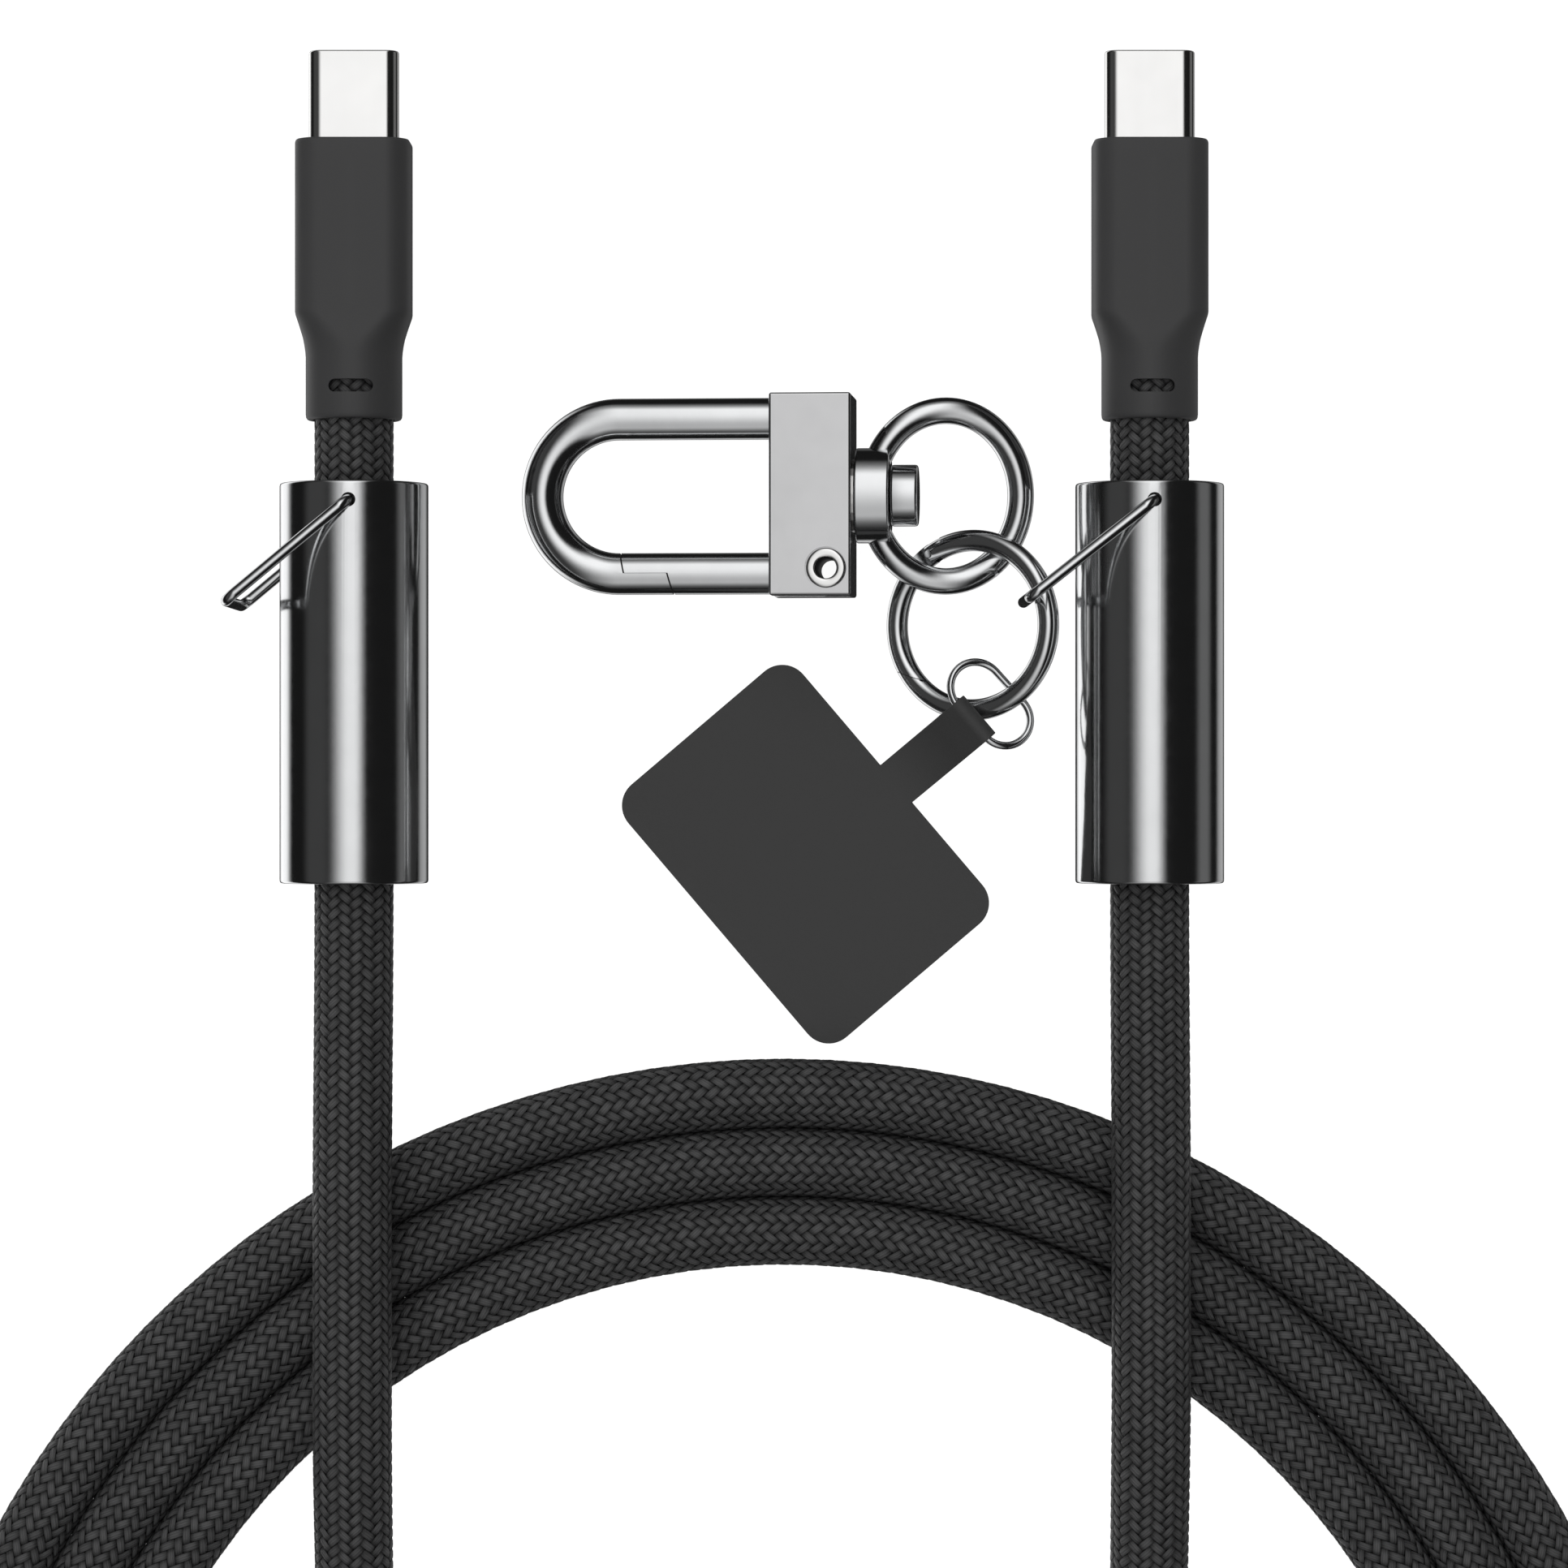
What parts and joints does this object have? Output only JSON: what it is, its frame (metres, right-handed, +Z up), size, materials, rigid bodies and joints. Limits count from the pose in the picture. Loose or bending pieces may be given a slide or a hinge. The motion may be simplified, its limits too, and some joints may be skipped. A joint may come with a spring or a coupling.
{
  "type": "charging cable",
  "caption": "Braided charging cable with a plug at each end, sliding metal barrels, wire bails, and a ring chain with a snap clasp and a tether tab.",
  "frame": {"origin": "on the resting surface, under the middle of the plugs, barrels and charms", "axes": "+Y along the plugs towards their tips, +X from the left plug to the right plug, +Z up off the surface"},
  "size_m": [0.1676, 0.261, 0.0166],
  "materials": {
    "bright_nickel": "bright nickel plate, drawn",
    "hard_plastic": "moulded black, fine grain",
    "gilt_contact": "gold flash on copper alloy",
    "crimp_brass": "drawn brass, satin",
    "spring_steel": "rolled stainless, satin",
    "circuit_card": "green solder mask",
    "wire_red": "extruded insulation",
    "wire_black": "extruded insulation",
    "wire_green": "extruded insulation",
    "wire_white": "extruded insulation",
    "soft_moulding": "soft matt elastomer, fine spark grain",
    "black_nickel": "polished black nickel plate",
    "polished_gunmetal": "polished gunmetal plate on a flat face",
    "braided_jacket": "close flat braid of black filament yarn, satin",
    "tab_sheet": "thin coated sheet, matt"
  },
  "bodies": {
    "cord_and_plugs": {"plug_shell_left": "bright_nickel", "contact_insulator_left": "hard_plastic", "contacts_upper_left": "gilt_contact", "contacts_lower_left": "gilt_contact", "latch_spring_left": "spring_steel", "paddle_card_left": "circuit_card", "emarker_chip_left": "hard_plastic", "shield_can_left": "spring_steel", "inner_mould_left": "hard_plastic", "crimp_ferrule_left": "crimp_brass", "power_wire_left": "wire_red", "ground_wire_left": "wire_black", "data_wire_a_left": "wire_green", "data_wire_b_left": "wire_white", "overmould_left": "soft_moulding", "plug_shell_right": "bright_nickel", "contact_insulator_right": "hard_plastic", "contacts_upper_right": "gilt_contact", "contacts_lower_right": "gilt_contact", "latch_spring_right": "spring_steel", "paddle_card_right": "circuit_card", "emarker_chip_right": "hard_plastic", "shield_can_right": "spring_steel", "inner_mould_right": "hard_plastic", "crimp_ferrule_right": "crimp_brass", "power_wire_right": "wire_red", "ground_wire_right": "wire_black", "data_wire_a_right": "wire_green", "data_wire_b_right": "wire_white", "overmould_right": "soft_moulding", "cord_run_left": "braided_jacket", "cord_run_right": "braided_jacket", "cord_coil": "braided_jacket"},
    "left_barrel": {"barrel_tube_left": "black_nickel", "barrel_bush_left": "hard_plastic"},
    "right_barrel": {"barrel_tube_right": "black_nickel", "barrel_bush_right": "hard_plastic"},
    "left_bail": {"bail_left": "black_nickel"},
    "right_bail": {"bail_right": "black_nickel"},
    "spring_ring": {"ring_body": "black_nickel", "ring_gate_pin": "spring_steel"},
    "ring_gate_arm": {"ring_gate": "black_nickel"},
    "swivel": {"swivel_ring": "black_nickel"},
    "clasp": {"clasp_body": "polished_gunmetal", "clasp_hook": "black_nickel", "gate_pin": "polished_gunmetal", "gate_spring": "spring_steel", "swivel_rivet": "black_nickel", "swivel_washer": "spring_steel"},
    "clasp_gate_arm": {"clasp_gate": "black_nickel"},
    "link": {"link_ring": "black_nickel"},
    "tab": {"tether_tab": "tab_sheet"}
  },
  "joints": [
    {"name": "left_barrel_slide", "type": "slide", "parent": "cord_and_plugs", "child": "left_barrel", "axis": [0, 1, 0], "range_m": [0, 0.0392]},
    {"name": "right_barrel_slide", "type": "slide", "parent": "cord_and_plugs", "child": "right_barrel", "axis": [0, 1, 0], "range_m": [0, 0.0392]},
    {"name": "left_bail_swing", "type": "hinge", "parent": "left_barrel", "child": "left_bail", "pos_m": [-0.0344, 0.00435, 0.0084], "axis": [0, 0, 1], "range_deg": [-100, 16]},
    {"name": "right_bail_swing", "type": "hinge", "parent": "right_barrel", "child": "right_bail", "pos_m": [0.03925, 0.00435, 0.0084], "axis": [0, 0, 1], "range_deg": [-12, 1.5]},
    {"name": "spring_ring_swing", "type": "hinge", "parent": "right_bail", "child": "spring_ring", "pos_m": [0.02786, -0.00462, 0.0084], "axis": [0, 0, 1], "range_deg": [-10, 1.5]},
    {"name": "ring_gate_press", "type": "hinge", "parent": "spring_ring", "child": "ring_gate_arm", "pos_m": [0.01929, -0.00015, 0.00292], "axis": [-0.4848, 0, 0.8746], "range_deg": [0, 10], "stiffness_Nm_per_rad": 0.02, "springref_deg": -11.46},
    {"name": "swivel_shift", "type": "hinge", "parent": "spring_ring", "child": "swivel", "pos_m": [0.02295, -0.00685, 0.00495], "axis": [-0.4848, 0, 0.8746], "range_deg": [-5, 2]},
    {"name": "clasp_swivel", "type": "hinge", "parent": "swivel", "child": "clasp", "pos_m": [0.01373, 0.0052, 0.00526], "axis": [0.9969, 0, 0.0785], "continuous": true},
    {"name": "clasp_gate_press", "type": "hinge", "parent": "clasp", "child": "clasp_gate_arm", "pos_m": [0.00944, -0.00165, 0.00492], "axis": [0.0785, 0, -0.9969], "range_deg": [0, 22], "stiffness_Nm_per_rad": 0.03, "springref_deg": -11.46},
    {"name": "link_swing", "type": "hinge", "parent": "spring_ring", "child": "link", "pos_m": [0.02437, -0.01394, 0.00574], "axis": [-0.8525, -0.2236, -0.4725], "range_deg": [0, 18]},
    {"name": "tab_swing", "type": "hinge", "parent": "link", "child": "tab", "pos_m": [0.0228, -0.0158, 0.00693], "axis": [-0.6652, 0.7466, 0], "range_deg": [0, 30]}
  ]
}
